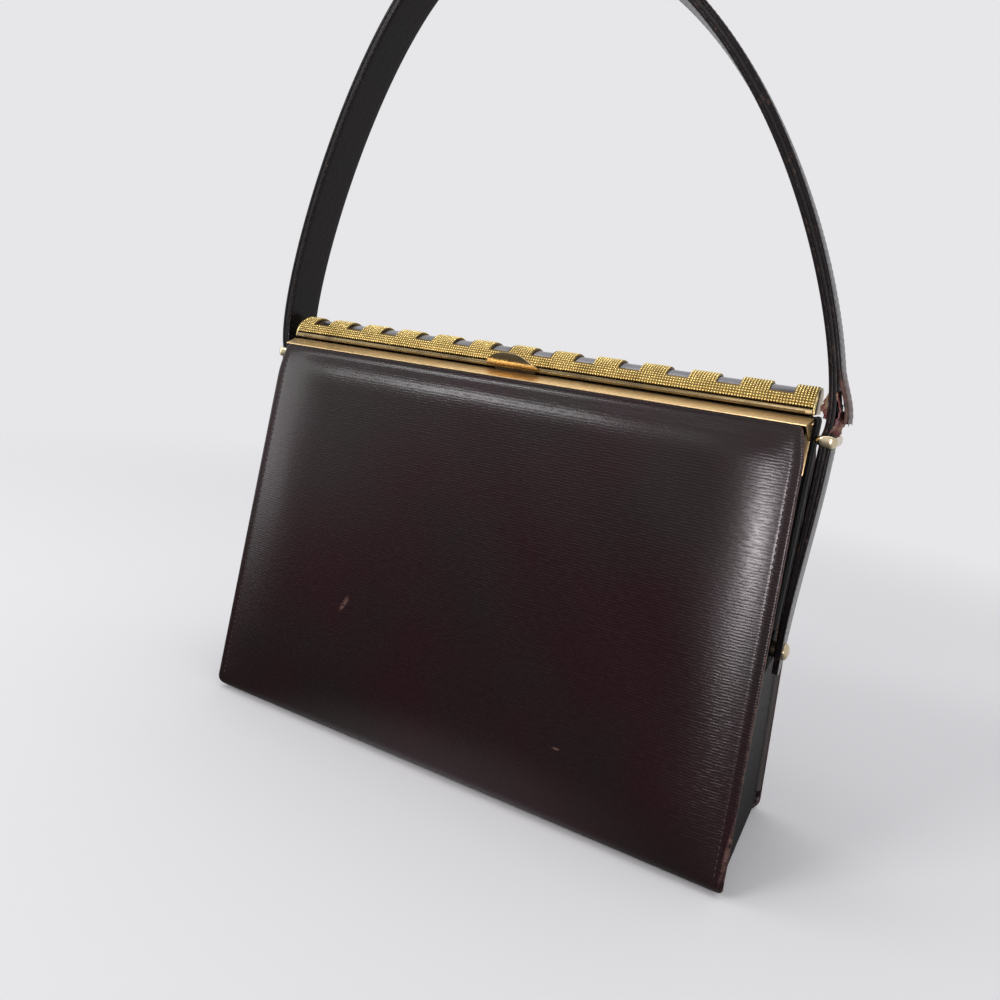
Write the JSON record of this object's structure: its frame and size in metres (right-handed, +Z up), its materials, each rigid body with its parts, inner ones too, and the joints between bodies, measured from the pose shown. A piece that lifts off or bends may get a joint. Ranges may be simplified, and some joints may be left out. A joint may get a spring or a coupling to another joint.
{
  "type": "frame handbag",
  "caption": "Structured leather frame handbag: tapered body, hinged brass frame, half-round lift-bar clasp with a thumb tab, and one stiff arched strap handle.",
  "frame": {"origin": "middle of the base, on the surface that the bag stands on", "axes": "+Z up, -Y towards the front (the side with the thumb tab), +X to the right as seen from the front"},
  "size_m": [0.2462, 0.0724, 0.3361],
  "materials": {
    "calf_leather": "dark aubergine brown calf with a fine straight grain, satin",
    "black_leather": "black, smooth, satin",
    "core": "tan leather board with dark painted edges",
    "board": "plain",
    "lining": "smooth woven lining, matt",
    "polished_brass": "polished",
    "beaded_brass": "ribbed and beaded, polished",
    "steel": "smooth, grey"
  },
  "bodies": {
    "body": {"back_leather": "calf_leather", "base_leather": "calf_leather", "front_lower_leather": "calf_leather", "front_flex_leather": "calf_leather", "back_board": "board", "base_board": "board", "front_lower_board": "board", "back_lining": "lining", "base_lining": "lining", "front_lower_lining": "lining", "side_leather_left": "calf_leather", "side_leather_right": "calf_leather", "gusset_left": "black_leather", "gusset_right": "black_leather", "rear_frame": "polished_brass", "rear_arm_covers": "black_leather", "hinge_studs": "polished_brass", "hinge_spacers": "polished_brass", "strap_tail_left": "calf_leather", "strap_tail_right": "calf_leather", "keeper_left": "polished_brass", "keeper_right": "polished_brass", "clasp_pins": "polished_brass"},
    "front": {"front_upper_leather": "calf_leather", "front_upper_board": "board", "front_upper_lining": "lining", "front_frame": "polished_brass", "front_arm_covers": "black_leather", "catch_block": "steel"},
    "clasp_bar": {"bar_plate": "polished_brass", "bar_cover": "beaded_brass", "bar_inlay": "steel", "bar_ends": "polished_brass", "thumb_tab": "polished_brass", "bar_latch": "steel"},
    "handle": {"handle_outer_leather": "calf_leather", "handle_core": "core", "handle_inner_leather": "calf_leather"}
  },
  "joints": [
    {"name": "frame_hinge", "type": "hinge", "parent": "body", "child": "front", "pos_m": [0, 0, 0.081], "axis": [1, 0, 0], "range_deg": [0, 35], "deforming": ["front_flex_leather", "gusset_left", "gusset_right"]},
    {"name": "clasp_hinge", "type": "hinge", "parent": "body", "child": "clasp_bar", "pos_m": [0, 0.011, 0.1674], "axis": [-1, 0, 0], "range_deg": [0, 40]},
    {"name": "handle_bend", "type": "hinge", "parent": "body", "child": "handle", "pos_m": [0, 0, 0.1705], "axis": [1, 0, 0], "range_deg": [-40, 40], "stiffness_Nm_per_rad": 0.5}
  ]
}
